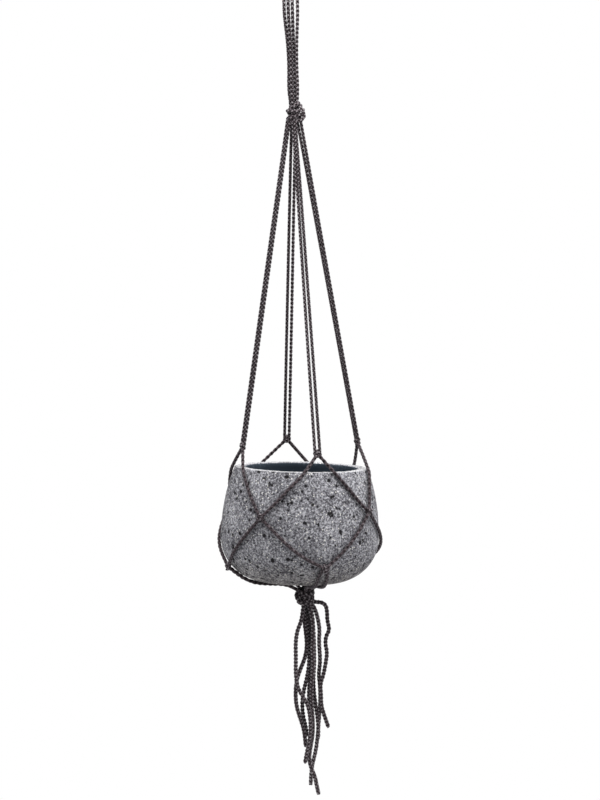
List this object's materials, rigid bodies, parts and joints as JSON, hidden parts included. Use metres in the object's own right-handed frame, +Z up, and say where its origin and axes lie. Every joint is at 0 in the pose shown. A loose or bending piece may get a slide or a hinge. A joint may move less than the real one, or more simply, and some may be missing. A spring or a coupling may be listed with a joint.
{
  "type": "hanging planter",
  "caption": "Rounded stoneware plant pot carried in a knotted net of braided cord, with a doubled-cord loop for a hook above and loose cord tails below.",
  "frame": {"origin": "middle of the hook bar that the loop hangs over", "axes": "+Z up, +X to the viewer's right along the hook bar, -Y towards the front"},
  "size_m": [0.1999, 0.2001, 0.9566],
  "materials": {
    "cord": "braided matt cord, dark taupe charcoal",
    "stoneware": "matt speckled grey stoneware with small pits, darker inside"
  },
  "bodies": {
    "hook_loop": {"loop_crown_1": "cord", "loop_crown_2": "cord", "loop_crown_3": "cord", "loop_crown_4": "cord"},
    "neck": {"loop_strands_1": "cord", "loop_strands_2": "cord", "loop_strands_3": "cord", "loop_strands_4": "cord"},
    "top_knot_body": {"top_knot": "cord"},
    "hanger": {"base_cords_back": "cord", "base_cords_front": "cord", "base_cords_left": "cord", "base_cords_right": "cord", "belly_knot_back_left": "cord", "belly_knot_back_right": "cord", "belly_knot_front_left": "cord", "belly_knot_front_right": "cord", "heel_knot_back": "cord", "heel_knot_front": "cord", "heel_knot_left": "cord", "heel_knot_right": "cord", "leg_back_1": "cord", "leg_back_2": "cord", "leg_front_1": "cord", "leg_front_2": "cord", "leg_left_1": "cord", "leg_left_2": "cord", "leg_right_1": "cord", "leg_right_2": "cord", "net_lower_back_left_to_back": "cord", "net_lower_back_left_to_left": "cord", "net_lower_back_right_to_back": "cord", "net_lower_back_right_to_right": "cord", "net_lower_front_left_to_front": "cord", "net_lower_front_left_to_left": "cord", "net_lower_front_right_to_front": "cord", "net_lower_front_right_to_right": "cord", "net_upper_back_to_back_left": "cord", "net_upper_back_to_back_right": "cord", "net_upper_front_to_front_left": "cord", "net_upper_front_to_front_right": "cord", "net_upper_left_to_back_left": "cord", "net_upper_left_to_front_left": "cord", "net_upper_right_to_back_right": "cord", "net_upper_right_to_front_right": "cord", "rim_knot_back": "cord", "rim_knot_front": "cord", "rim_knot_left": "cord", "rim_knot_right": "cord"},
    "pot_body": {"pot": "stoneware"},
    "gather_knot_body": {"gather_knot": "cord"},
    "tassel": {"tail_1": "cord", "tail_2": "cord", "tail_3": "cord", "tail_4": "cord", "tail_5": "cord", "tail_6": "cord", "tail_7": "cord", "tail_8": "cord"}
  },
  "joints": [
    {"name": "loop_swing", "type": "hinge", "parent": "hook_loop", "child": "neck", "pos_m": [0, 0, 0], "axis": [1, 0, 0], "range_deg": [-15, 15]},
    {"name": "hanger_twist", "type": "hinge", "parent": "neck", "child": "top_knot_body", "pos_m": [0, 0, -0.1295], "axis": [0, 0, 1], "range_deg": [-180, 180]},
    {"name": "hanger_sway", "type": "hinge", "parent": "top_knot_body", "child": "hanger", "pos_m": [0, 0, -0.1295], "axis": [0, 1, 0], "range_deg": [-15, 15]},
    {"name": "pot_turn", "type": "hinge", "parent": "hanger", "child": "pot_body", "pos_m": [-0.004, 0, -0.634], "axis": [0.0454, 0, 0.999], "continuous": true},
    {"name": "gather_swing", "type": "hinge", "parent": "hanger", "child": "gather_knot_body", "pos_m": [0, 0, -0.7075], "axis": [1, 0, 0], "range_deg": [-15, 15]},
    {"name": "tassel_sway", "type": "hinge", "parent": "gather_knot_body", "child": "tassel", "pos_m": [0, 0, -0.7075], "axis": [0, 1, 0], "range_deg": [-15, 15]}
  ]
}
